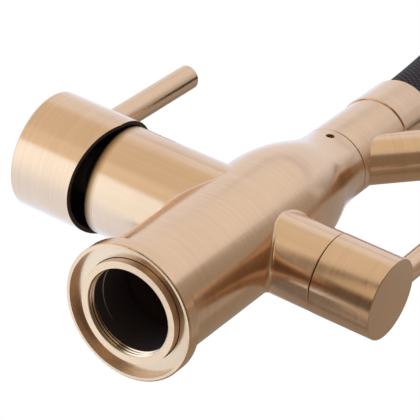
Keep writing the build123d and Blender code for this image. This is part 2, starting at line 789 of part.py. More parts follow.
with BuildPart() as swivel_ring:
    with BuildSketch(Plane.XY.offset(ring_bottom)):
        Circle(neck_r)
    extrude(amount=ring_top - ring_bottom)
    with BuildSketch(Plane.XY.offset(ring_bottom)):
        Circle(spigot_r + seat_gap)
    extrude(amount=spigot_top - ring_bottom, mode=Mode.SUBTRACT)
    with BuildSketch(Plane.XY.offset(spigot_top)):
        Circle(waterway_r)
    extrude(amount=ring_top - spigot_top, mode=Mode.SUBTRACT)
    with BuildSketch(arm_root_plane):
        Circle(filter_tube_r + open_gap)
    extrude(amount=2 * neck_r, mode=Mode.SUBTRACT)
    fillet(swivel_ring.faces().sort_by(Axis.Z)[0].outer_wire().edges(), ring_round)
keep("swivel_ring", swivel_ring.part)

# ---- Arm: a tube brazed to the ring, which rises, bends level and carries the dock ----
arm_start = neck_r / 2
arm_end = reach - dock_r / 2
with BuildPart() as arm:
    with BuildLine(reach_plane) as arm_line:
        FilletPolyline(
            (arm_start, arm_root_z + arm_start * tan(radians(arm_slope))),
            (bend_s, arm_level_z),
            (arm_end, arm_level_z),
            radius=arm_bend,
        )
    with BuildSketch(Plane(origin=arm_line.line @ 0, z_dir=arm_line.line % 0)):
        Circle(arm_r)
        Circle(arm_bore_r, mode=Mode.SUBTRACT)
    sweep(path=arm_line.line)
    with BuildSketch(Plane.XY.offset(ring_bottom)):
        Circle(neck_r)
    extrude(amount=ring_top - ring_bottom, mode=Mode.SUBTRACT)
    with BuildSketch(Plane.XY.offset(ring_top)):
        Circle(ferrule_r + seat_gap)
    extrude(amount=ferrule_top - ring_top, mode=Mode.SUBTRACT)
    with BuildSketch(level_at_dock(dock_bottom)):
        Circle(dock_r)
    extrude(amount=dock_top - dock_bottom, mode=Mode.SUBTRACT)
    with BuildSketch(level_at_outlet(0)):
        Circle(outlet_bore_r)
    extrude(amount=arm_level_z, mode=Mode.SUBTRACT)
keep("arm", arm.part)

# ---- Filtered water line: riser in the body, tube in the arm, outlet under it ----
with BuildPart() as filter_riser:
    with BuildSketch(Plane.XY.offset(riser_bottom)):
        Circle(riser_r)
        Circle(riser_bore_r, mode=Mode.SUBTRACT)
    extrude(amount=riser_top - riser_bottom)
keep("filter_riser", filter_riser.part)

with BuildPart() as filter_tube:
    with BuildLine(reach_plane) as tube_line:
        FilletPolyline(
            (0, filter_tube_start),
            (0, arm_root_z),
            (bend_s, arm_level_z),
            (outlet_s, arm_level_z),
            (outlet_s, tube_end),
            radius=[filter_tube_bend, arm_bend, filter_tube_bend],
        )
    with BuildSketch(Plane(origin=tube_line.line @ 0, z_dir=tube_line.line % 0)):
        Circle(filter_tube_r)
        Circle(filter_tube_bore_r, mode=Mode.SUBTRACT)
    sweep(path=tube_line.line)
keep("filter_tube", filter_tube.part)

with BuildPart() as filter_outlet:
    with BuildSketch(level_at_outlet(outlet_bottom)):
        Circle(outlet_r)
        Circle(outlet_bore_r, mode=Mode.SUBTRACT)
    extrude(amount=arm_level_z - outlet_bottom)
    with BuildSketch(Plane(origin=level_at_outlet(arm_level_z).origin, z_dir=heading)):
        Circle(arm_r)
    extrude(amount=2 * outlet_r, both=True, mode=Mode.SUBTRACT)
    with BuildSketch(level_at_outlet(outlet_bottom)):
        Circle(outlet_aerator_r + seat_gap)
    extrude(amount=outlet_aerator_h, mode=Mode.SUBTRACT)
    mouth = filter_outlet.edges().filter_by(GeomType.CIRCLE).group_by(Axis.Z)[0]
    fillet(mouth.sort_by(SortBy.RADIUS)[-1], outlet_round)
keep("filter_outlet", filter_outlet.part)

with BuildPart() as outlet_aerator:
    with BuildSketch(level_at_outlet(outlet_bottom + outlet_aerator_sunk)):
        Circle(outlet_aerator_r)
        for hole_circle, count in aerator_holes:
            with PolarLocations(hole_circle, count):
                Circle(aerator_hole_r, mode=Mode.SUBTRACT)
    extrude(amount=outlet_aerator_h - outlet_aerator_sunk - outlet_aerator_gap)
keep("outlet_aerator", outlet_aerator.part)

# ---- Dock: the ring at the arm's end, with a magnet in its lower face ----
with BuildPart() as dock_ring:
    with BuildSketch(level_at_dock(dock_bottom)):
        Circle(dock_r)
        Circle(dock_bore_r, mode=Mode.SUBTRACT)
    extrude(amount=dock_top - dock_bottom)
    with BuildSketch(level_at_dock(dock_bottom)):
        Circle(magnet_outer_r + seat_gap)
        Circle(magnet_inner_r - seat_gap, mode=Mode.SUBTRACT)
    extrude(amount=magnet_h, mode=Mode.SUBTRACT)
    fillet(dock_ring.faces().sort_by(Axis.Z)[-1].edges(), dock_round)
keep("dock_ring", dock_ring.part)

with BuildPart() as dock_magnet:
    with BuildSketch(level_at_dock(dock_bottom + magnet_gap)):
        Circle(magnet_outer_r)
        Circle(magnet_inner_r, mode=Mode.SUBTRACT)
    extrude(amount=magnet_h - magnet_gap)
keep("dock_magnet", dock_magnet.part)

# ---- Hose ferrule on the ring, with the barbed nipple that the hose is pushed on ----
with BuildPart() as hose_ferrule:
    with BuildSketch(Plane.XY.offset(ring_top)):
        Circle(ferrule_r)
        Circle(waterway_r, mode=Mode.SUBTRACT)
    extrude(amount=ferrule_top - ring_top)
    with BuildSketch(Plane.XY.offset(ferrule_floor)):
        Circle(hose_r + seat_gap)
    extrude(amount=ferrule_top - ferrule_floor, mode=Mode.SUBTRACT)
    fillet(hose_ferrule.faces().sort_by(Axis.Z)[-1].outer_wire().edges(), end_round)
    chamfer(hose_ferrule.faces().sort_by(Axis.Z)[0].outer_wire().edges(), ferrule_chamfer)
keep("hose_ferrule", hose_ferrule.part)


def nipple_profile(foot, floor, foot_r, offset):
    """Outline of a barbed nipple from its foot, past the floor that the hose's end meets."""
    side = [(offset + nipple_bore_r, foot), (offset + foot_r, foot), (offset + foot_r, floor)]
    side.append((offset + nipple_r - nipple_root, floor))
    for barb in range(nipple_barbs):
        base = floor + barb_step + barb * barb_pitch
        side.append((offset + nipple_r - nipple_root, base))
        side.append((offset + nipple_r, base))
        side.append((offset + nipple_r - nipple_root, base + barb_pitch - barb_step))
    side.append((offset + nipple_bore_r, floor + nipple_length))
    return side


with BuildPart() as ferrule_nipple:
    with BuildSketch(Plane.XZ):
        with BuildLine():
            foot_r = waterway_r - seat_gap
            Polyline(nipple_profile(spigot_top + foot_gap, ferrule_floor, foot_r, 0), close=True)
        make_face()
    revolve(axis=Axis.Z)
keep("ferrule_nipple", ferrule_nipple.part)

# ---- Hose: one arch from the ferrule to the collar of the spray head ----
hose_corners = [Vector(s, z) for s, z in hose_route]
hose_runs = [b - a for a, b in zip(hose_corners, hose_corners[1:])]
hose_radii = []
for before, after in zip(hose_runs, hose_runs[1:]):
    half_turn = radians(before.get_angle(after)) / 2
    hose_radii.append(0.45 * min(before.length, after.length) / tan(half_turn))
print("hose arc radii:", [round(radius) for radius in hose_radii])

with BuildPart() as hose:
    with BuildLine(reach_plane) as hose_line:
        FilletPolyline(*hose_route, radius=hose_radii)
    with BuildSketch(Plane(origin=hose_line.line @ 0, z_dir=hose_line.line % 0)):
        Circle(hose_r)
        Circle(hose_bore_r, mode=Mode.SUBTRACT)
    sweep(path=hose_line.line)
hose_length = hose_line.wire().length
hose_section = pi * (hose_r**2 - hose_bore_r**2)
print("hose length:", round(hose_length, 1))
print("hose volume over section times length:", round(hose.part.volume / (hose_section * hose_length), 4))
keep("hose", hose.part)

# ---- Collar at the hose's lower end, which hangs in the dock ----
with BuildPart() as hose_collar:
    with BuildSketch(level_at_dock(collar_bottom)):
        Circle(collar_r)
    extrude(amount=collar_top - collar_bottom)
    with BuildSketch(level_at_dock(collar_spigot_bottom)):
        Circle(collar_spigot_r - turn_gap)
    extrude(amount=collar_bottom - collar_spigot_bottom)
    with BuildSketch(level_at_dock(collar_floor)):
        Circle(hose_r + seat_gap)
    extrude(amount=collar_top - collar_floor, mode=Mode.SUBTRACT)
    with BuildSketch(level_at_dock(collar_spigot_bottom)):
        Circle(collar_bore_r)
    extrude(amount=collar_top - collar_spigot_bottom, mode=Mode.SUBTRACT)
    fillet(hose_collar.faces().sort_by(Axis.Z)[-1].outer_wire().edges(), end_round)
keep("hose_collar", hose_collar.part)

with BuildPart() as collar_nipple:
    with BuildSketch(reach_plane):
        with BuildLine():
            foot_r = collar_bore_r - seat_gap
            Polyline(nipple_profile(collar_floor - nipple_foot, collar_floor, foot_r, reach), close=True)
        make_face()
    revolve(axis=dock_axis)
keep("collar_nipple", collar_nipple.part)

with BuildPart() as check_valve:
    with BuildSketch(level_at_dock(collar_spigot_bottom + valve_inset_z)):
        Circle(collar_bore_r - seat_gap)
        Circle(collar_bore_r / 2, mode=Mode.SUBTRACT)
    extrude(amount=collar_floor - nipple_foot - valve_play - collar_spigot_bottom - valve_inset_z)
keep("check_valve", check_valve.part)

# ---- Spray head: shell, inner core, face, aerator and button ----
with BuildPart() as spray_shell:
    with BuildSketch(level_at_dock(head_bottom)):
        Circle(head_r)
    extrude(amount=head_shoulder - head_bottom)
    with BuildSketch(level_at_dock(head_shoulder)):
        Circle(collar_r)
    extrude(amount=head_neck_top - head_shoulder)
    with BuildSketch(level_at_dock(head_bottom)):
        Circle(head_r - head_wall)
    extrude(amount=head_cavity_top - head_bottom, mode=Mode.SUBTRACT)
    with BuildSketch(level_at_dock(head_bottom)):
        Circle(collar_spigot_r)
    extrude(amount=head_neck_top - head_bottom, mode=Mode.SUBTRACT)
    with BuildSketch(level_at_dock(head_shoulder - keeper_h)):
        Circle(keeper_r + seat_gap)
        Circle(magnet_inner_r - seat_gap, mode=Mode.SUBTRACT)
    extrude(amount=keeper_h, mode=Mode.SUBTRACT)
    with BuildSketch(button_plane(0)):
        RectangleRounded(button_w + 2 * window_gap, button_h + 2 * window_gap, button_w / 2)
    extrude(amount=head_r + 1, mode=Mode.SUBTRACT)
    rims = spray_shell.edges().filter_by(GeomType.CIRCLE).group_by(Axis.Z)[0]
    fillet(rims.sort_by(SortBy.RADIUS)[-1], head_round)
keep("spray_shell", spray_shell.part)

with BuildPart() as keeper_ring:
    with BuildSketch(level_at_dock(head_shoulder - keeper_h)):
        Circle(keeper_r)
        Circle(magnet_inner_r, mode=Mode.SUBTRACT)
    extrude(amount=keeper_h - seat_gap)
keep("keeper_ring", keeper_ring.part)

with BuildPart() as spray_core:
    with BuildSketch(level_at_dock(face_bottom + face_t)):
        Circle(core_r)
        Circle(head_aerator_r - core_bore_step, mode=Mode.SUBTRACT)
    extrude(amount=head_cavity_top - core_top_gap - face_bottom - face_t)
    with BuildSketch(button_plane(button_back - button_travel - open_gap)):
        RectangleRounded(button_w + 2 * window_gap, button_h + 2 * window_gap, button_w / 2)
    extrude(amount=head_r, mode=Mode.SUBTRACT)
keep("spray_core", spray_core.part)

with BuildPart() as spray_face:
    with BuildSketch(level_at_dock(face_bottom)):
        Circle(face_r)
        Circle(head_aerator_r + seat_gap, mode=Mode.SUBTRACT)
        for edge_distance, count in spray_rings:
            with PolarLocations(face_r - edge_distance, count):
                Circle(jet_r, mode=Mode.SUBTRACT)
    extrude(amount=face_t)
keep("spray_face", spray_face.part)

with BuildPart() as spray_aerator:
    with BuildSketch(level_at_dock(face_bottom)):
        Circle(head_aerator_r)
        for hole_circle, count in aerator_holes:
            with PolarLocations(hole_circle, count):
                Circle(aerator_hole_r, mode=Mode.SUBTRACT)
    extrude(amount=face_t)
keep("spray_aerator", spray_aerator.part)

with BuildPart() as spray_button:
    with BuildSketch(button_plane(button_back)):
        RectangleRounded(button_w, button_h, button_w / 2 - 0.01)
    extrude(amount=button_t)
    front = spray_button.faces().sort_by(Axis(origin=(0, 0, 0), direction=tuple(heading)))[-1]
    fillet(front.edges(), button_round)
keep("spray_button", spray_button.part)
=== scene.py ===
import math

import bmesh
import bpy
from mathutils import Matrix, Quaternion, Vector


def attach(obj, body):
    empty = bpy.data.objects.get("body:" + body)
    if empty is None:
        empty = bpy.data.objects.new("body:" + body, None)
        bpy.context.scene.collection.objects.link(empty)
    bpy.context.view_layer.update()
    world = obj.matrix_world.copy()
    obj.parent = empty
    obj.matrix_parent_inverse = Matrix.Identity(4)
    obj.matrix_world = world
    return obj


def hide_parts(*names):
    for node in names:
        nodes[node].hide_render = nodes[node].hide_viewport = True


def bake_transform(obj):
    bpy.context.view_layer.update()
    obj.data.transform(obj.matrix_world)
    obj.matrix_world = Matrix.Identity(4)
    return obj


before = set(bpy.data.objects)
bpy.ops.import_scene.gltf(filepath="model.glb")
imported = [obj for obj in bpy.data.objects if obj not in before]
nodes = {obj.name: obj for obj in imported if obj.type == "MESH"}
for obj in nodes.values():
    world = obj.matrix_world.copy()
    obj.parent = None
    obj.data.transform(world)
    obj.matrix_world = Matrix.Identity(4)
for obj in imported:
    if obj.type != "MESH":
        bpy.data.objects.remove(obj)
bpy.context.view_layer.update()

# ---- Camera ----
# The tap is seen from behind and from under its foot, through a long lens 0.9 m away,
# with its column running up to the right.
camera_at = Vector((-0.34667, 0.43849, -0.53943))
camera_aim = Vector((0.04355, -0.03264, 0.12070))
camera_roll = math.radians(55.03)
bpy.ops.object.camera_add(location=camera_at)
camera = bpy.context.object
camera.name = "camera"
camera.rotation_mode = "QUATERNION"
unrolled_view = (camera_aim - camera_at).to_track_quat("-Z", "Y")
camera.rotation_quaternion = unrolled_view @ Quaternion((0, 0, 1), camera_roll)
camera.data.lens = 195.4
camera.data.sensor_width = 36.0
camera.data.clip_start = 0.01
camera.data.clip_end = 20.0
bpy.context.scene.camera = camera
bpy.context.scene.view_settings.view_transform = "Standard"

# ---- Hose ----
# A black braided sleeve over a stiff reinforced inner, pushed on barbs in the
# ferrule and in the collar above the spray head, and held up by its own stiffness.
arm_heading = math.radians(173.4)
toward_dock = Vector((math.cos(arm_heading), math.sin(arm_heading), 0))
reach = 0.236
hose_radius = 0.01365
ferrule_floor = 0.172
collar_floor = 0.300
# How far out towards the dock the hose runs, and how high.
hose_route = [
    (0.0, ferrule_floor),
    (0.0, 0.194),
    (-0.003, 0.230),
    (-0.009, 0.290),
    (-0.014, 0.362),
    (-0.012, 0.435),
    (0.010, 0.484),
    (0.050, 0.520),
    (0.101, 0.537),
    (0.155, 0.531),
    (0.201, 0.505),
    (0.233, 0.461),
    (0.244, 0.408),
    (reach, 0.350),
    (reach, collar_floor),
]
route = bpy.data.curves.new("hose_route", "CURVE")
route.dimensions = "3D"
line = route.splines.new("NURBS")
line.points.add(len(hose_route) - 1)
for point, (out, height) in zip(line.points, hose_route):
    point.co = (*(toward_dock * out + Vector((0, 0, height))), 1)
line.order_u = 3
line.use_endpoint_u = True
line.resolution_u = 12
hose_curve = bpy.data.objects.new("hose_curve", route)
bpy.context.scene.collection.objects.link(hose_curve)
traced = bpy.data.meshes.new_from_object(hose_curve)
bpy.data.meshes.remove(traced)
route.bevel_depth = hose_radius
route.bevel_resolution = 12
route.use_fill_caps = True
bpy.ops.object.select_all(action="DESELECT")
hose_curve.select_set(True)
bpy.context.view_layer.objects.active = hose_curve
bpy.ops.object.convert(target="MESH")
hose = bpy.context.object
hose.name = "hose_sleeve"
bpy.ops.object.shade_smooth_by_angle(angle=math.radians(40))

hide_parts("hose")
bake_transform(hose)


def begin_material(name):
    """A new material, its node tree and its shader."""
    material = bpy.data.materials.new(name)
    material.use_nodes = True
    return material, material.node_tree, material.node_tree.nodes["Principled BSDF"]


def reckon(tree, operation, first, second=None, clamp=False):
    """A Math node whose inputs are sockets or numbers, and the socket that it puts out."""
    node = tree.nodes.new("ShaderNodeMath")
    node.operation = operation
    node.use_clamp = clamp
    for socket, value in zip(node.inputs, (first, second)):
        if hasattr(value, "links"):
            tree.links.new(value, socket)
        elif value is not None:
            socket.default_value = value
    return node.outputs[0]


def blend_of(tree, kind, factor, first, second):
    """A Mix node of the kind RGBA or FLOAT, and the socket that it puts out."""
    node = tree.nodes.new("ShaderNodeMix")
    node.data_type = kind
    inputs = [socket for socket in node.inputs if socket.enabled]
    for socket, value in zip(inputs, (factor, first, second)):
        if hasattr(value, "links"):
            tree.links.new(value, socket)
        elif kind == "RGBA" and socket != inputs[0]:
            socket.default_value = (*value, 1)
        else:
            socket.default_value = value
    return [socket for socket in node.outputs if socket.enabled][0]


def spread_over(tree, value, low, high, start, end, smooth=False):
    """A Map Range node from low..high to start..end, and the socket that it puts out."""
    node = tree.nodes.new("ShaderNodeMapRange")
    if smooth:
        node.interpolation_type = "SMOOTHSTEP"
    ends = {"From Min": low, "From Max": high, "To Min": start, "To Max": end}
    for title, number in ends.items():
        node.inputs[title].default_value = number
    tree.links.new(value, node.inputs["Value"])
    return node.outputs[0]


def emboss(tree, shader, height, strength, distance):
    """Raises a height as fine relief on the shader."""
    relief = tree.nodes.new("ShaderNodeBump")
    relief.inputs["Strength"].default_value = strength
    relief.inputs["Distance"].default_value = distance
    tree.links.new(height, relief.inputs["Height"])
    tree.links.new(relief.outputs[0], shader.inputs["Normal"])


def dress(piece, material):
    """Gives a new piece its one material."""
    piece.data.materials.clear()
    piece.data.materials.append(material)


# The sleeve is braided from flat black yarns, half of them wound each way.
strands = 30
strand_rows = 190
yarn_below = (0.019, 0.0135, 0.0165)
yarn_on_top = (0.054, 0.041, 0.049)
yarn, tree, shader = begin_material("braided_sleeve")
shader.inputs["Specular IOR Level"].default_value = 0.12
unrolled = tree.nodes.new("ShaderNodeUVMap")
unrolled.uv_map = "UVMap"
split = tree.nodes.new("ShaderNodeSeparateXYZ")
tree.links.new(unrolled.outputs[0], split.inputs[0])
along = reckon(tree, "MULTIPLY", split.outputs["X"], strand_rows * math.pi)
around = reckon(tree, "MULTIPLY", split.outputs["Y"], strands * math.pi)
wound_left = reckon(tree, "SINE", reckon(tree, "ADD", along, around))
wound_right = reckon(tree, "SINE", reckon(tree, "SUBTRACT", along, around))
over = reckon(tree, "ABSOLUTE", reckon(tree, "MULTIPLY", wound_left, wound_right))
shade = blend_of(tree, "RGBA", over, yarn_below, yarn_on_top)
tree.links.new(shade, shader.inputs["Base Color"])
tree.links.new(spread_over(tree, over, 0, 1, 0.75, 0.5), shader.inputs["Roughness"])
emboss(tree, shader, over, strength=0.5, distance=0.0003)
dress(hose, yarn)

# ---- Body ----
# One brass casting: foot, barrel, shoulder, neck and the two branch housings. It is
# brushed round each of its axes and coated in rose gold. Deep inside its bore the colour
# is painted shade, dark and not metallic.


def begin_group(name, inputs, outputs):
    """A new node group with named inputs and outputs, and its first and last node."""
    group = bpy.data.node_groups.new(name, "ShaderNodeTree")
    for way, sockets in (("INPUT", inputs), ("OUTPUT", outputs)):
        for title, kind in sockets.items():
            group.interface.new_socket(title, in_out=way, socket_type="NodeSocket" + kind)
    return group, group.nodes.new("NodeGroupInput"), group.nodes.new("NodeGroupOutput")


def noise_over(tree, place, scale, detail, roughness=0.5, stretch=None):
    """Noise over a place, which stretch can draw out, and the socket that it puts out."""
    if stretch:
        drawn_out = tree.nodes.new("ShaderNodeMapping")
        drawn_out.inputs["Scale"].default_value = stretch
        tree.links.new(place, drawn_out.inputs["Vector"])
        place = drawn_out.outputs[0]
    node = tree.nodes.new("ShaderNodeTexNoise")
    node.inputs["Scale"].default_value = scale
    node.inputs["Detail"].default_value = detail
    node.inputs["Roughness"].default_value = roughness
    tree.links.new(place, node.inputs["Vector"])
    return node.outputs[0]


def weighed(tree, first, second, share):
    """Two values added up, of which the second has the given share."""
    return reckon(
        tree,
        "ADD",
        reckon(tree, "MULTIPLY", first, 1 - share),
        reckon(tree, "MULTIPLY", second, share),
    )


# Brushing round the local Z axis: fine lines, broad bands, and clouds in the coat.
# The three numbers are how often each changes per metre along X, Y and Z.
fine_lines = (70, 70, 5200)
broad_bands = (14, 14, 620)
brushing, entry, leave = begin_group(
    "brushing", {"Lay": "Vector"}, {"Grain": "Float", "Bloom": "Float"}
)
lay = entry.outputs["Lay"]
scratch = noise_over(brushing, lay, 1.0, 3.0, roughness=0.6, stretch=fine_lines)
band = noise_over(brushing, lay, 1.0, 2.0, stretch=broad_bands)
cloud = noise_over(brushing, lay, 45, 2.0)
brushing.links.new(weighed(brushing, scratch, band, 0.25), leave.inputs["Grain"])
brushing.links.new(weighed(brushing, cloud, band, 0.6), leave.inputs["Bloom"])

# A zone inside a round piece: nearer than Within to the local Z axis, between two heights.
inside, entry, leave = begin_group(
    "inside",
    {"Lay": "Vector", "Within": "Float", "Start": "Float", "End": "Float"},
    {"Zone": "Float"},
)
split = inside.nodes.new("ShaderNodeSeparateXYZ")
inside.links.new(entry.outputs["Lay"], split.inputs[0])
spread = reckon(
    inside,
    "ADD",
    reckon(inside, "MULTIPLY", split.outputs["X"], split.outputs["X"]),
    reckon(inside, "MULTIPLY", split.outputs["Y"], split.outputs["Y"]),
)
near = reckon(inside, "LESS_THAN", reckon(inside, "SQRT", spread), entry.outputs["Within"])
above = reckon(inside, "GREATER_THAN", split.outputs["Z"], entry.outputs["Start"])
below = reckon(inside, "LESS_THAN", split.outputs["Z"], entry.outputs["End"])
zone = reckon(inside, "MULTIPLY", near, reckon(inside, "MULTIPLY", above, below))
inside.links.new(zone, leave.inputs["Zone"])


def brushed_metal(name, shades, gloss, centre=(0, 0, 0), turn=(0, 0, 0), zones=(), beyond=None):
    """
    A metal brushed round an axis, which is the Z axis moved to centre and turned.
    Each zone inside the piece has its own tone and dullness, and a zone of painted shade is not
    metallic.
    Past beyond's start and end, either way along X, the brushing goes round its axis.
    """
    metal, tree, shader = begin_material(name)
    shader.inputs["Metallic"].default_value = 1.0
    place = tree.nodes.new("ShaderNodeTexCoord").outputs["Object"]

    def brushed_round(middle, angles):
        lay = tree.nodes.new("ShaderNodeMapping")
        lay.vector_type = "TEXTURE"
        lay.inputs["Location"].default_value = middle
        lay.inputs["Rotation"].default_value = angles
        tree.links.new(place, lay.inputs["Vector"])
        strokes = tree.nodes.new("ShaderNodeGroup")
        strokes.node_tree = brushing
        tree.links.new(lay.outputs[0], strokes.inputs["Lay"])
        return lay.outputs[0], strokes.outputs["Grain"], strokes.outputs["Bloom"]

    lay, grain, bloom = brushed_round(centre, turn)
    if beyond:
        other_grain = brushed_round(beyond["centre"], beyond["turn"])[1]
        split = tree.nodes.new("ShaderNodeSeparateXYZ")
        tree.links.new(place, split.inputs[0])
        out = reckon(tree, "ABSOLUTE", split.outputs["X"])
        far = spread_over(tree, out, beyond["start"], beyond["end"], 0, 1, smooth=True)
        grain = blend_of(tree, "FLOAT", far, grain, other_grain)
    colour = blend_of(tree, "RGBA", spread_over(tree, bloom, 0.3, 0.7, 0, 1), *shades)
    dullness = spread_over(tree, grain, 0.35, 0.65, *gloss)
    metallic = 1.0
    for zone in zones:
        hollow = tree.nodes.new("ShaderNodeGroup")
        hollow.node_tree = inside
        tree.links.new(lay, hollow.inputs["Lay"])
        for title in ("Within", "Start", "End"):
            hollow.inputs[title].default_value = zone[title.lower()]
        here = hollow.outputs["Zone"]
        colour = blend_of(tree, "RGBA", here, colour, zone["tone"])
        dullness = blend_of(tree, "FLOAT", here, dullness, zone["dull"])
        if zone.get("shade_nonmetal"):
            metallic = blend_of(tree, "FLOAT", here, metallic, 0)
            tree.links.new(metallic, shader.inputs["Metallic"])
    tree.links.new(colour, shader.inputs["Base Color"])
    tree.links.new(dullness, shader.inputs["Roughness"])
    emboss(tree, shader, grain, strength=0.12, distance=0.00003)
    return metal


def finish(material, *names):
    """Gives a finish to CAD pieces that stay as they are."""
    for piece in names:
        nodes[piece].material_slots[0].material = material


rose_gold = ((0.715, 0.487, 0.338), (0.775, 0.542, 0.39))
satin = (0.15, 0.25)
# A paler, less saturated tone for the walls of the groove.
groove_wall_tone = (0.70, 0.55, 0.43)
floor_gold = (0.76, 0.56, 0.42)
dark_seam = (0.12, 0.07, 0.045)
bore_painted_shade = (0.10, 0.046, 0.04)
branch_z = 0.0692
on_branch = (0, 0, branch_z)
sideways = (0, math.radians(90), 0)
# The barrel's brushing gives way to the housings' between these two distances.
barrel_edge = 0.0232
housing_edge = 0.0238
# Heights in the foot, from its face up to the floor of its groove and the bore's top.
foot_face = 0.0002
groove_walls_end = 0.00305
seam_start = 0.0031
groove_floor = 0.0034
bore_top = 0.098
groove_r = 0.0247
seam_r = 0.01965
bore_r = 0.0202
body_coat = brushed_metal(
    "body_coat",
    rose_gold,
    satin,
    zones=[
        dict(within=groove_r, start=foot_face, end=groove_floor, tone=floor_gold, dull=0.24),
        dict(within=groove_r, start=foot_face, end=groove_walls_end, tone=groove_wall_tone, dull=0.34),
        dict(within=seam_r, start=seam_start, end=groove_floor, tone=dark_seam, dull=0.5),
        # Painted shade deep in the bore: dark and not metallic.
        dict(
            within=bore_r,
            start=groove_floor,
            end=bore_top,
            tone=bore_painted_shade,
            dull=0.8,
            shade_nonmetal=True,
        ),
    ],
    beyond=dict(start=barrel_edge, end=housing_edge, centre=on_branch, turn=sideways),
)
finish(body_coat, "body")

# ---- Threaded ring ----
# A turned brass ring pressed into the foot and coated with the body. Its fine thread
# takes the shank, and a coned mouth leads the shank in.
ring_r = 0.0194
ring_height = 0.022
ring_sides = 144
mouth_r = 0.0168
mouth_depth = 0.0009
crest_r = 0.0162
root_r = 0.0171
thread_pitch = 0.0014
thread_turns = 18
thread_steps = 96
weld = 0.000005
bpy.ops.object.select_all(action="DESELECT")
bpy.ops.mesh.primitive_cylinder_add(
    vertices=ring_sides, radius=ring_r, depth=ring_height, location=(0, 0, ring_height / 2)
)
ring = bpy.context.object
ring.name = "threaded_ring"

# What cuts the thread: one tooth's outline, screwed up through the ring. The tooth has
# a flat root and crest, with a flank of 0.38 of the pitch on either side.
flank = 0.38
crest_flat = 0.12
bpy.ops.mesh.primitive_plane_add(size=thread_pitch, rotation=(math.radians(90), 0, 0))
thread_cutter = bpy.context.object
bpy.ops.object.transform_apply(location=True, rotation=True, scale=True)
bpy.ops.object.mode_set(mode="EDIT")
edit = bmesh.from_edit_mesh(thread_cutter.data)
left = [vertex for vertex in edit.verts if vertex.co.x < 0]
bmesh.ops.delete(edit, geom=left, context="VERTS")
bmesh.update_edit_mesh(thread_cutter.data)
bpy.ops.mesh.select_mode(type="EDGE")
bpy.ops.mesh.select_all(action="SELECT")
bpy.ops.mesh.subdivide(number_cuts=7)
edit = bmesh.from_edit_mesh(thread_cutter.data)
tooth = sorted(edit.verts, key=lambda vertex: vertex.co.z)
for step, vertex in enumerate(tooth):
    height = step / (len(tooth) - 1)
    depth = min(max((0.5 - abs(height - 0.5)) / flank - crest_flat, 0), 1)
    vertex.co = (crest_r + depth * (root_r - crest_r), 0, (height - 1) * thread_pitch)
bmesh.update_edit_mesh(thread_cutter.data)
bpy.ops.object.mode_set(mode="OBJECT")
bpy.ops.object.modifier_add(type="SCREW")
screw = thread_cutter.modifiers[-1]
screw.axis = "Z"
screw.screw_offset = thread_pitch
screw.iterations = thread_turns
screw.steps = thread_steps
screw.render_steps = thread_steps
screw.use_merge_vertices = True
screw.merge_threshold = 2 * weld
bpy.ops.object.modifier_apply(modifier=screw.name)
bpy.ops.object.mode_set(mode="EDIT")
bpy.ops.mesh.select_all(action="SELECT")
bpy.ops.mesh.remove_doubles(threshold=weld)
bpy.ops.mesh.select_all(action="DESELECT")
bpy.ops.mesh.select_non_manifold()
bpy.ops.mesh.edge_face_add()
bpy.ops.mesh.select_all(action="SELECT")
bpy.ops.mesh.quads_convert_to_tris()
bpy.ops.mesh.normals_make_consistent(inside=False)
bpy.ops.object.mode_set(mode="OBJECT")

bpy.ops.mesh.primitive_cone_add(
    vertices=ring_sides,
    radius1=mouth_r + (mouth_r - crest_r),
    radius2=crest_r,
    depth=2 * mouth_depth,
    location=(0, 0, 0),
)
mouth_cutter = bpy.context.object
for cutter in (thread_cutter, mouth_cutter):
    bpy.ops.object.select_all(action="DESELECT")
    ring.select_set(True)
    bpy.context.view_layer.objects.active = ring
    bpy.ops.object.modifier_add(type="BOOLEAN")
    cut = ring.modifiers[-1]
    cut.operation = "DIFFERENCE"
    cut.solver = "EXACT"
    cut.object = cutter
    bpy.ops.object.modifier_apply(modifier=cut.name)
    bpy.data.objects.remove(cutter, do_unlink=True)
bpy.ops.object.transform_apply(location=True, rotation=True, scale=True)
bpy.ops.object.shade_smooth_by_angle(angle=math.radians(25))

# The coat has a painted highlight on the first crests and painted shade in their roots.
# Deeper in, the thread is painted shade, dark and not metallic, with a thin painted
# highlight line in it.
first_turns_end = 0.0038
line_start = 0.0082
line_end = 0.00845
thread_shade_end = 0.03
outer_wall_r = 0.0196
first_root_r = 0.0176
first_crest_r = 0.01665
thread_shade_r = 0.0181
root_painted_shade = (0.16, 0.095, 0.06)
crest_painted_highlight = (0.80, 0.62, 0.47)
thread_painted_shade = (0.026, 0.012, 0.0105)
painted_highlight_line = (0.34, 0.25, 0.19)
ring_coat = brushed_metal(
    "ring_coat",
    rose_gold,
    satin,
    zones=[
        dict(
            within=outer_wall_r, start=foot_face, end=groove_walls_end, tone=groove_wall_tone, dull=0.34
        ),
        dict(
            within=first_root_r, start=mouth_depth, end=first_turns_end, tone=root_painted_shade, dull=0.3
        ),
        dict(
            within=first_crest_r, start=foot_face, end=first_turns_end, tone=crest_painted_highlight, dull=0.14
        ),
        dict(
            within=thread_shade_r,
            start=first_turns_end,
            end=thread_shade_end,
            tone=thread_painted_shade,
            dull=0.8,
            shade_nonmetal=True,
        ),
        dict(within=thread_shade_r, start=line_start, end=line_end, tone=painted_highlight_line, dull=0.3),
    ],
)
dress(ring, ring_coat)
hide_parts("base_insert")
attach(ring, "tap_body")

# ---- Waterways ----
# A cast brass core in the barrel carries hot, cold and filtered water, and a steel
# riser takes the filtered water up on its own. The core's near black colour is painted shade.
yellow_brass = ((0.56, 0.40, 0.18), (0.68, 0.50, 0.25))
grey_steel = ((0.5, 0.5, 0.49), (0.63, 0.63, 0.62))
brass = brushed_metal("turned_brass", yellow_brass, (0.24, 0.4))
steel = brushed_metal("turned_steel", grey_steel, (0.2, 0.34))
finish(steel, "filter_riser", "filter_tube")

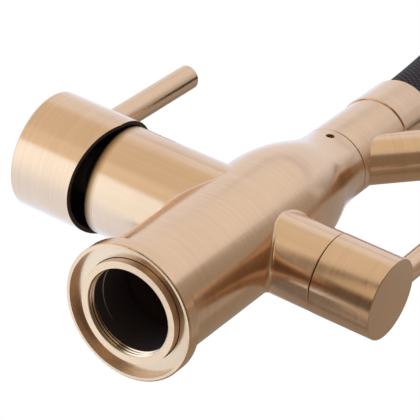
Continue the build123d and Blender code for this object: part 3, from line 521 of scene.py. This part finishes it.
# The skin of a moulded or cast piece: small pebbles, and clouds in its colour.
moulding, entry, leave = begin_group(
    "moulding", {"Size": "Float"}, {"Pebble": "Float", "Cloud": "Float"}
)
place = moulding.nodes.new("ShaderNodeTexCoord").outputs["Object"]
pebble = moulding.nodes.new("ShaderNodeTexVoronoi")
moulding.links.new(place, pebble.inputs["Vector"])
moulding.links.new(entry.outputs["Size"], pebble.inputs["Scale"])
moulding.links.new(pebble.outputs["Distance"], leave.inputs["Pebble"])
moulding.links.new(noise_over(moulding, place, 120, 4.0), leave.inputs["Cloud"])


def moulded(name, shades, dull, pebbles, depth, specular=0.4):
    """A moulded or cast skin, with its pebbles counted per metre and their depth."""
    skin, tree, shader = begin_material(name)
    shader.inputs["Specular IOR Level"].default_value = specular
    texture = tree.nodes.new("ShaderNodeGroup")
    texture.node_tree = moulding
    texture.inputs["Size"].default_value = pebbles
    cloud = texture.outputs["Cloud"]
    tree.links.new(blend_of(tree, "RGBA", cloud, *shades), shader.inputs["Base Color"])
    tree.links.new(spread_over(tree, cloud, 0.3, 0.7, *dull), shader.inputs["Roughness"])
    emboss(tree, shader, texture.outputs["Pebble"], strength=0.4, distance=depth)
    return skin


# Near black: painted shade deep in the barrel.
core_painted_shade = moulded(
    "core_painted_shade",
    shades=((0.026, 0.012, 0.0105), (0.038, 0.019, 0.016)),
    dull=(0.7, 0.9),
    pebbles=1500,
    depth=0.0001,
    specular=0.05,
)
finish(core_painted_shade, "waterway_core")

# ---- Mixer branch ----
# A ceramic cartridge in the housing, held by a brass nut. The lever cap is turned from
# brass, coated as the body, and a pin screwed into it is the lever.
black_nylon = moulded(
    "black_nylon",
    shades=((0.007, 0.006, 0.006), (0.012, 0.011, 0.011)),
    dull=(0.6, 0.75),
    pebbles=3500,
    depth=0.00004,
    specular=0.25,
)
finish(black_nylon, "cartridge_case", "cartridge_carrier", "mixer_shroud")
finish(brass, "cartridge_nut")
finish(steel, "lever_stem", "lever_axle", "mixer_grub")
# Inside the cap, its colour is painted shade, dark and not metallic.
cap_hollow_r = 0.02285
cap_hollow_start = 0.05
cap_hollow_end = 0.0855
mixer_coat = brushed_metal(
    "mixer_coat",
    rose_gold,
    satin,
    on_branch,
    sideways,
    zones=[
        dict(
            within=cap_hollow_r,
            start=cap_hollow_start,
            end=cap_hollow_end,
            tone=(0.035, 0.018, 0.012),
            dull=0.8,
            shade_nonmetal=True,
        )
    ],
)
finish(mixer_coat, "mixer_cap")
finish(brushed_metal("mixer_pin_coat", rose_gold, satin), "mixer_pin")

# A turned collar in the housing's lip rounds it off towards the cap. Its coat is
# painted shade, darker and browner by steps round the edge and into the slot.
collar_outer_r = 0.02143
collar_inner_r = 0.0177
collar_start = 0.0506
collar_end = 0.0545
collar_round = 0.0013
collar_shade_r = 0.03
collar_shade_end = 0.06
collar_shaded_gold = ((0.62, 0.42, 0.28), (0.67, 0.46, 0.32))
collar_shade_steps = (
    (0.0513, (0.50, 0.31, 0.17), 0.25),
    (0.0520, (0.35, 0.20, 0.10), 0.3),
    (0.0526, (0.22, 0.12, 0.055), 0.35),
    (0.0532, (0.10, 0.05, 0.022), 0.4),
)
bpy.ops.object.select_all(action="DESELECT")
bpy.ops.mesh.primitive_plane_add(size=1, location=(0, 0, 0))
collar = bpy.context.object
collar.name = "housing_collar"
for vertex in collar.data.vertices:
    along = collar_end if vertex.co.x > 0 else collar_start
    out = collar_outer_r if vertex.co.y > 0 else collar_inner_r
    vertex.co = (along, 0, branch_z + out)
middle_x = (collar_start + collar_end) / 2
middle_z = branch_z + (collar_outer_r + collar_inner_r) / 2
bpy.ops.object.mode_set(mode="EDIT")
bpy.ops.mesh.select_mode(type="VERT")
bpy.ops.mesh.select_all(action="DESELECT")
edit = bmesh.from_edit_mesh(collar.data)
for vertex in edit.verts:
    vertex.select = vertex.co.x > middle_x and vertex.co.z > middle_z
edit.select_flush(True)
bmesh.update_edit_mesh(collar.data)
bpy.ops.mesh.bevel(offset=collar_round, segments=6, affect="VERTICES")
bpy.ops.mesh.select_all(action="SELECT")
bpy.ops.mesh.delete(type="ONLY_FACE")
bpy.ops.mesh.select_all(action="SELECT")
bpy.ops.mesh.spin(steps=128, angle=math.tau, center=on_branch, axis=(1, 0, 0))
bpy.ops.mesh.select_all(action="SELECT")
bpy.ops.mesh.remove_doubles(threshold=weld)
bpy.ops.mesh.normals_make_consistent(inside=False)
bpy.ops.object.mode_set(mode="OBJECT")
bpy.ops.object.shade_smooth_by_angle(angle=math.radians(35))
# The collar's coat: painted shade that darkens by steps towards the slot.
collar_painted_shade = brushed_metal(
    "collar_painted_shade",
    collar_shaded_gold,
    satin,
    on_branch,
    sideways,
    zones=[
        dict(within=collar_shade_r, start=start, end=collar_shade_end, tone=brown, dull=dull)
        for start, brown, dull in collar_shade_steps
    ],
)
dress(collar, collar_painted_shade)
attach(collar, "tap_body")

# ---- Filter branch ----
# A quarter turn ceramic valve in brass, under a plain knob that runs against a thin
# black gasket. The knob's pin is screwed in near its end.
finish(black_nylon, "filter_gasket")
finish(brass, "filter_valve", "valve_lock_nut", "filter_spindle")
finish(steel, "filter_grub")
finish(brushed_metal("knob_coat", rose_gold, satin, on_branch, sideways), "filter_knob")
finish(brushed_metal("filter_pin_coat", rose_gold, satin), "filter_pin")

# ---- Column ----
# A swivel ring that carries the arm turns on a brass spigot in the neck, held by a
# grub screw from behind, and the ferrule of the hose stands on it.
column_coat = brushed_metal("column_coat", rose_gold, satin)
finish(column_coat, "swivel_ring", "hose_ferrule")
finish(brass, "spout_spigot", "ferrule_nipple")
finish(steel, "spigot_screw")
finish(black_nylon, "swivel_washer")
seal_rubber = moulded(
    "seal_rubber",
    shades=((0.012, 0.012, 0.013), (0.02, 0.02, 0.021)),
    dull=(0.5, 0.65),
    pebbles=2000,
    depth=0.00002,
)
finish(seal_rubber, "spigot_seals")

# ---- Arm and filter outlet ----
# A bent brass tube, brushed round its own line, rises at 45 degrees and runs level to
# the dock, with the filtered water's spout and its aerator under the level run.
rising = (0, math.radians(45), arm_heading)
running_level = (0, math.radians(90), arm_heading)
bend_start = 0.140
bend_end = 0.156
arm_coat = brushed_metal(
    "arm_coat",
    rose_gold,
    satin,
    turn=rising,
    beyond=dict(start=bend_start, end=bend_end, centre=(0, 0, 0), turn=running_level),
)
finish(arm_coat, "arm")
finish(column_coat, "filter_outlet")
pale_acetal = moulded(
    "pale_acetal",
    shades=((0.36, 0.37, 0.38), (0.44, 0.45, 0.46)),
    dull=(0.4, 0.55),
    pebbles=2500,
    depth=0.00002,
)
finish(pale_acetal, "outlet_aerator")

# ---- Dock ----
# The ring at the arm's end has a magnet in its lower face, which holds the spray head
# up, and the hose's coated brass collar hangs through it.
finish(column_coat, "dock_ring", "hose_collar")
finish(steel, "dock_magnet")
finish(brass, "collar_nipple")
finish(black_nylon, "check_valve")

# ---- Spray head ----
# A brushed shell over a black core. Its face has soft rubber nozzles that stand out of
# a black plate, round an aerator, and a ribbed button at the side changes the jet.
finish(column_coat, "spray_shell")
finish(steel, "keeper_ring")
finish(black_nylon, "spray_core", "spray_face", "spray_button")
finish(pale_acetal, "spray_aerator")


def repeat(piece, offsets, name):
    """Copies a piece to each offset, with its own mesh, and joins the copies as one."""
    copies = []
    for offset in offsets:
        copy = piece.copy()
        copy.data = piece.data.copy()
        copy.data.transform(Matrix.Translation(offset))
        bpy.context.scene.collection.objects.link(copy)
        copies.append(copy)
    bpy.data.objects.remove(piece, do_unlink=True)
    bpy.ops.object.select_all(action="DESELECT")
    for copy in copies:
        copy.select_set(True)
    bpy.context.view_layer.objects.active = copies[0]
    bpy.ops.object.join()
    bpy.context.object.name = name
    return bpy.context.object


# One nozzle, rounded off at its tip with a hole in it, stands on each place of two rings.
dock = toward_dock * reach
face_z = 0.1726
nozzle_r = 0.00105
nozzle_round = 0.0003
nozzle_hole_r = 0.00045
nozzle_hole_depth = 0.0015
nozzle_proud = 0.0009
nozzle_deep = 0.003
nozzle_rings = ((0.0105, 12), (0.0145, 18))
soft_rubber = moulded(
    "soft_rubber",
    shades=((0.10, 0.10, 0.105), (0.14, 0.14, 0.145)),
    dull=(0.55, 0.7),
    pebbles=4000,
    depth=0.00002,
    specular=0.35,
)
bpy.ops.object.select_all(action="DESELECT")
bpy.ops.mesh.primitive_cylinder_add(
    vertices=20,
    radius=nozzle_r,
    depth=nozzle_deep + nozzle_proud,
    location=(*dock.xy, face_z + (nozzle_deep - nozzle_proud) / 2),
)
nozzle = bpy.context.object
bpy.ops.object.transform_apply(location=True, rotation=True, scale=True)
bpy.ops.object.mode_set(mode="EDIT")
bpy.ops.mesh.select_mode(type="FACE")
bpy.ops.mesh.select_all(action="DESELECT")
edit = bmesh.from_edit_mesh(nozzle.data)
for face in edit.faces:
    face.select = face.normal.z < -0.9
bmesh.update_edit_mesh(nozzle.data)
bpy.ops.mesh.bevel(offset=nozzle_round, segments=3, affect="EDGES")
bpy.ops.mesh.select_all(action="DESELECT")
edit = bmesh.from_edit_mesh(nozzle.data)
tip_z = min(vertex.co.z for vertex in edit.verts)
for face in edit.faces:
    face.select = face.normal.z < -0.9 and face.calc_center_median().z < tip_z + 1e-6
bmesh.update_edit_mesh(nozzle.data)
bpy.ops.mesh.inset(thickness=nozzle_r - nozzle_round - nozzle_hole_r, depth=0)
bpy.ops.mesh.extrude_region_move(TRANSFORM_OT_translate={"value": (0, 0, nozzle_hole_depth)})
bpy.ops.object.mode_set(mode="OBJECT")
bpy.ops.object.shade_smooth_by_angle(angle=math.radians(40))
places = []
for ring_radius, count in nozzle_rings:
    for step in range(count):
        turn = arm_heading + math.tau * step / count
        places.append(Vector((math.cos(turn), math.sin(turn), 0)) * ring_radius)
jets = repeat(nozzle, places, "spray_nozzles")
dress(jets, soft_rubber)
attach(jets, "spray_head")

# The ribs moulded on the button, one bar bevelled all round and repeated.
button_z = 0.236
button_front = 0.0206
rib_length = 0.0062
rib_width = 0.0009
rib_round = 0.0003
rib_proud = 0.00025
rib_sunk = 0.0006
rib_pitch = 0.0026
rib_rows = (-2, -1, 0, 1, 2)
bpy.ops.object.select_all(action="DESELECT")
bpy.ops.mesh.primitive_cube_add(size=1)
rib = bpy.context.object
for vertex in rib.data.vertices:
    out = button_front + (rib_proud if vertex.co.x > 0 else -rib_sunk)
    vertex.co = (out, vertex.co.y * rib_length, vertex.co.z * rib_width)
bpy.ops.object.mode_set(mode="EDIT")
bpy.ops.mesh.select_all(action="SELECT")
bpy.ops.mesh.bevel(offset=rib_round, segments=3, affect="EDGES")
bpy.ops.object.mode_set(mode="OBJECT")
at_button = Matrix.Translation(dock + Vector((0, 0, button_z)))
rib.data.transform(at_button @ Matrix.Rotation(arm_heading, 4, "Z"))
grip = repeat(rib, [Vector((0, 0, row * rib_pitch)) for row in rib_rows], "button_ribs")
bpy.ops.object.shade_smooth_by_angle(angle=math.radians(40))
dress(grip, black_nylon)
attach(grip, "spray_button")

# ---- Studio ----
# A white room with soft boxes and dark flags round the tap, which show only as
# reflections in its coat, one soft lamp, and a white floor seen from above.
world = bpy.data.worlds.new("studio")
world.use_nodes = True
bpy.context.scene.world = world
room = world.node_tree
backdrop = room.nodes["Background"]
backdrop.inputs["Color"].default_value = (1, 1, 1, 1)
rays = room.nodes.new("ShaderNodeLightPath")
seen = reckon(room, "MAXIMUM", rays.outputs["Is Camera Ray"], rays.outputs["Is Glossy Ray"])
seen = reckon(room, "MAXIMUM", seen, rays.outputs["Is Transmission Ray"])
room.links.new(spread_over(room, seen, 0, 1, 0.55, 1.0), backdrop.inputs["Strength"])

bpy.ops.object.select_all(action="DESELECT")
bpy.ops.object.light_add(type="AREA", location=(-0.5, 1.1, 1.3))
lamp = bpy.context.object
lamp.name = "soft_lamp"
lamp.data.shape = "DISK"
lamp.data.size = 1.0
lamp.data.energy = 9
lamp.rotation_mode = "QUATERNION"
lamp_aim = Vector((0, 0, 0.15))
lamp.rotation_quaternion = (lamp_aim - lamp.location).to_track_quat("-Z", "Y")
lamp.visible_glossy = False


def show_where(tree, cover, surface):
    """Shows a surface where cover is 1. Elsewhere the material is clear."""
    clear = tree.nodes.new("ShaderNodeBsdfTransparent")
    either = tree.nodes.new("ShaderNodeMixShader")
    if hasattr(cover, "links"):
        tree.links.new(cover, either.inputs["Fac"])
    else:
        either.inputs["Fac"].default_value = cover
    tree.links.new(clear.outputs[0], either.inputs[1])
    tree.links.new(surface.outputs[0], either.inputs[2])
    tree.links.new(either.outputs[0], tree.nodes["Material Output"].inputs["Surface"])


def card(name, low, high, tone, to_tone=None, along=(0, 0, 1), span=(0, 1), soft=((0, 0), (0, 0))):
    """
    A glowing sheet between two corners. Its tone changes over a span, which is measured
    along a direction, and soft has the widths over which its two pairs of edges fade.
    """
    flat = [axis for axis in range(3) if low[axis] == high[axis]][0]
    sides = [axis for axis in range(3) if axis != flat]
    bpy.ops.mesh.primitive_plane_add(size=1)
    sheet = bpy.context.object
    sheet.name = name
    for vertex in sheet.data.vertices:
        corner = [0, 0, 0]
        corner[flat] = low[flat]
        for side, part in zip(sides, (vertex.co.x, vertex.co.y)):
            corner[side] = low[side] + (part + 0.5) * (high[side] - low[side])
        vertex.co = corner
    glow, tree, shader = begin_material(name)
    tree.nodes.remove(shader)
    place = tree.nodes.new("ShaderNodeTexCoord").outputs["Object"]
    split = tree.nodes.new("ShaderNodeSeparateXYZ")
    tree.links.new(place, split.inputs[0])
    measure = tree.nodes.new("ShaderNodeVectorMath")
    measure.operation = "DOT_PRODUCT"
    measure.inputs[1].default_value = along
    tree.links.new(place, measure.inputs[0])
    fade = spread_over(tree, measure.outputs["Value"], *span, 0, 1, smooth=True)
    light = tree.nodes.new("ShaderNodeEmission")
    tree.links.new(blend_of(tree, "RGBA", fade, tone, to_tone or tone), light.inputs["Color"])
    cover = 1.0
    for side, widths in zip(sides, soft):
        for edge, width in ((low[side], widths[0]), (high[side], -widths[1])):
            if width:
                rim = spread_over(tree, split.outputs[side], edge, edge + width, 0, 1, smooth=True)
                cover = reckon(tree, "MULTIPLY", cover, rim)
    show_where(tree, cover, light)
    sheet.data.materials.append(glow)
    sheet.visible_camera = False
    sheet.visible_diffuse = False
    sheet.visible_transmission = False
    sheet.visible_shadow = False


# The room reaches this far to each side, down and up. Cards in the same place lie a
# little behind one another.
wide = 0.6
low_z = -0.25
top_z = 0.95
along_x = (1, 0, 0)
along_y = (0, 1, 0)
along_z = (0, 0, 1)

# Under the mixer: a soft box with one crisp edge, and beyond it the warm floor.
cream = (1.34, 1.56, 1.68)
pearl = (1.0, 1.2, 1.45)
box_edge = 0.205
card(
    "cream_box",
    (0.21, -wide, low_z),
    (wide, box_edge, low_z),
    pearl,
    cream,
    along_y,
    span=(-0.25, 0.06),
    soft=((0.02, 0), (0, 0.012)),
)
card(
    "cream_foot",
    (-0.1, -0.29, low_z - 0.01),
    (0.23, box_edge, low_z - 0.01),
    (1.2, 1.4, 1.5),
    soft=((0, 0), (0.03, 0.02)),
)
card("warm_floor", (0.2, 0.2, low_z - 0.02), (wide, wide, low_z - 0.02), (0.95, 0.89, 0.72))
card(
    "warm_floor_left",
    (-wide, 0.16, low_z - 0.03),
    (0.25, wide, low_z - 0.03),
    (0.72, 0.63, 0.46),
    soft=((0, 0.08), (0, 0)),
)
card(
    "dark_floor",
    (-wide, -wide, low_z - 0.04),
    (0.25, wide, low_z - 0.04),
    (0.26, 0.2, 0.14),
    soft=((0, 0.03), (0, 0)),
)

# Close under the filter knob: a warm card, a dark flag and a paler slit beside it.
near_z = -0.1
card(
    "knob_warm",
    (-0.05, 0.03, near_z),
    (0.028, 0.5, near_z),
    (0.74, 0.63, 0.44),
    soft=((0, 0), (0.05, 0)),
)
card(
    "knob_flag",
    (-wide, -0.07, near_z - 0.001),
    (0.07, 0.6, near_z - 0.001),
    (0.27, 0.215, 0.155),
    (0.14, 0.1, 0.065),
    along_x,
    span=(-0.26, -0.08),
    soft=((0, 0.02), (0.04, 0)),
)
card(
    "knob_slit",
    (-wide, -wide, near_z - 0.002),
    (0.028, 0.0, near_z - 0.002),
    (0.3, 0.24, 0.17),
    (0.54, 0.46, 0.37),
    along_y,
    span=(-0.22, -0.08),
)

# Beside the foot: a shade that keeps the soft box off the filter housing's lower half.
shade_tone = (0.2, 0.185, 0.155)
card(
    "housing_shade",
    (-0.04, -0.06, 0.001),
    (0.06, -0.0275, 0.001),
    shade_tone,
    soft=((0.02, 0), (0.01, 0.002)),
)
card(
    "housing_shade_long",
    (-0.015, -0.32, 0.0012),
    (0.06, -0.055, 0.0012),
    shade_tone,
    soft=((0.025, 0), (0, 0.01)),
)

# The walls.
card(
    "wall_behind",
    (-wide, wide, low_z - 0.03),
    (wide, wide, top_z),
    (0.83, 0.77, 0.61),
    (0.97, 1.0, 1.0),
    along_z,
    span=(0.35, 0.6),
)
card(
    "wall_front",
    (-wide, -wide, low_z - 0.04),
    (0.3, -wide, top_z),
    (0.33, 0.27, 0.2),
    (0.34, 0.285, 0.215),
    along_z,
    span=(0.3, 0.8),
    soft=((0, 0.04), (0, 0)),
)
card(
    "wall_front_right",
    (0.25, -wide - 0.01, low_z - 0.03),
    (wide, -wide - 0.01, top_z),
    (0.86, 1.0, 1.15),
    pearl,
    along_x,
    span=(0.3, 0.4),
)
card(
    "wall_left",
    (-wide, -wide, low_z - 0.04),
    (-wide, wide, top_z),
    (0.22, 0.17, 0.1),
    (0.46, 0.42, 0.36),
    along_z,
    span=(0.2, 0.85),
)
card(
    "wall_right",
    (wide, -wide, low_z - 0.04),
    (wide, wide, top_z),
    (0.97, 1.1, 1.3),
    (0.95, 0.98, 1.0),
    along_y,
    span=(-0.2, 0.05),
)

# The ceiling, which runs from dim to bright across a corner, with three cards below it.
card(
    "ceiling",
    (-wide, -wide, top_z),
    (wide, wide, top_z),
    (0.42, 0.39, 0.36),
    (0.95, 1.0, 1.06),
    along=(0.77, 0.64, 0),
    span=(-0.28, 0.1),
)
card(
    "ceiling_back",
    (-0.4, 0.42, top_z - 0.008),
    (wide, wide, top_z - 0.008),
    (0.77, 0.79, 0.82),
    soft=((0, 0), (0.06, 0)),
)
card(
    "ceiling_corner",
    (-wide, 0.12, top_z - 0.009),
    (-0.42, wide, top_z - 0.009),
    (0.77, 0.77, 0.78),
    soft=((0, 0.06), (0.06, 0)),
)
card(
    "ceiling_cool",
    (0.12, -wide, top_z - 0.01),
    (wide, 0.02, top_z - 0.01),
    (0.98, 1.12, 1.35),
    soft=((0.08, 0), (0, 0.1)),
)

# A broad sun evens out the light on the floor. It leaves the coat alone.
bpy.ops.object.select_all(action="DESELECT")
bpy.ops.object.light_add(type="SUN", location=(0, 0, 2))
sun = bpy.context.object
sun.name = "broad_sun"
sun.data.energy = 0.8
sun.data.angle = math.radians(60)
sun.rotation_euler = (math.radians(18), math.radians(-14), 0)
sun.visible_glossy = False

# The floor lies just under the foot. It shows from above only, and is clear far out.
floor_below = 0.0006
floor_fade_start = 0.7
floor_fade_end = 2.2
bpy.ops.mesh.primitive_plane_add(size=6, location=(0, 0, 0))
floor = bpy.context.object
floor.name = "floor"
floor.data.transform(Matrix.Translation((0, 0, -floor_below)))
white, tree, shader = begin_material("floor")
shader.inputs["Base Color"].default_value = (0.8, 0.8, 0.8, 1)
shader.inputs["Roughness"].default_value = 0.9
shader.inputs["Specular IOR Level"].default_value = 0.0
shader.inputs["Emission Color"].default_value = (1, 1, 1, 1)
shader.inputs["Emission Strength"].default_value = 0.34
is_camera = tree.nodes.new("ShaderNodeLightPath").outputs["Is Camera Ray"]
is_back = tree.nodes.new("ShaderNodeNewGeometry").outputs["Backfacing"]
from_above = reckon(tree, "SUBTRACT", is_camera, is_back, clamp=True)
distance = tree.nodes.new("ShaderNodeVectorMath")
distance.operation = "LENGTH"
place = tree.nodes.new("ShaderNodeTexCoord").outputs["Object"]
tree.links.new(place, distance.inputs[0])
close = spread_over(
    tree, distance.outputs["Value"], floor_fade_start, floor_fade_end, 1, 0, smooth=True
)
show_where(tree, reckon(tree, "MULTIPLY", from_above, close), shader)
floor.data.materials.append(white)
